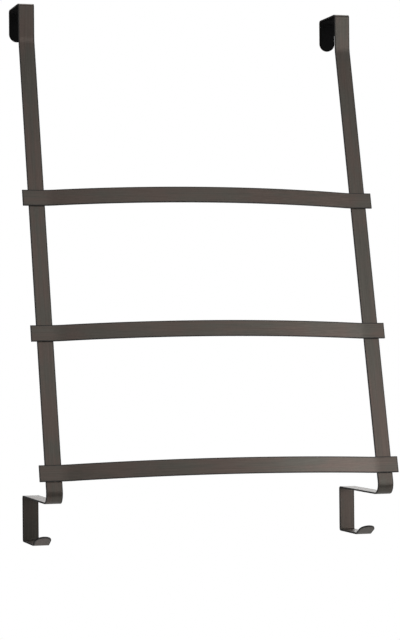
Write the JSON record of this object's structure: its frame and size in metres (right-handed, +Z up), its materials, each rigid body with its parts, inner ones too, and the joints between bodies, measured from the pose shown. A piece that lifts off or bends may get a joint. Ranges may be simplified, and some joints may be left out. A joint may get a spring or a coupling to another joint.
{
  "type": "over-door towel rack",
  "caption": "Over-the-door towel rack: bent flat-strip uprights with padded door hooks and lower hooks carry bowed flat towel bars.",
  "frame": {"origin": "the top front edge of the door, midway between the two uprights: z = 0 is the door's top and y = 0 its front face", "axes": "+Z up, +X to the right for someone facing the door, +Y into the door; the rack stands out towards -Y"},
  "size_m": [0.45, 0.2176, 0.6655],
  "materials": {
    "bronze_strip": "satin dark bronze coating on flat steel strip, fine brushed grain under it, slightly lighter on edges",
    "black_liner": "matt black closed-cell foam rubber",
    "rubber_bumper": "matt black moulded rubber",
    "zinc_stud": "bright zinc plate with rolled thread",
    "dark_fixing": "dark bronze coating, smooth, half gloss"
  },
  "bodies": {
    "root": {"upright_left": "bronze_strip", "door_liner_left": "black_liner", "leg_bumper_left": "rubber_bumper", "upright_right": "bronze_strip", "door_liner_right": "black_liner", "leg_bumper_right": "rubber_bumper", "bar_top": "bronze_strip", "bar_middle": "bronze_strip", "bar_bottom": "bronze_strip", "stud_top_left": "zinc_stud", "washer_top_left": "dark_fixing", "cap_nut_top_left": "dark_fixing", "stud_top_right": "zinc_stud", "washer_top_right": "dark_fixing", "cap_nut_top_right": "dark_fixing", "stud_middle_left": "zinc_stud", "washer_middle_left": "dark_fixing", "cap_nut_middle_left": "dark_fixing", "stud_middle_right": "zinc_stud", "washer_middle_right": "dark_fixing", "cap_nut_middle_right": "dark_fixing", "stud_bottom_left": "zinc_stud", "washer_bottom_left": "dark_fixing", "cap_nut_bottom_left": "dark_fixing", "stud_bottom_right": "zinc_stud", "washer_bottom_right": "dark_fixing", "cap_nut_bottom_right": "dark_fixing"}
  },
  "joints": []
}
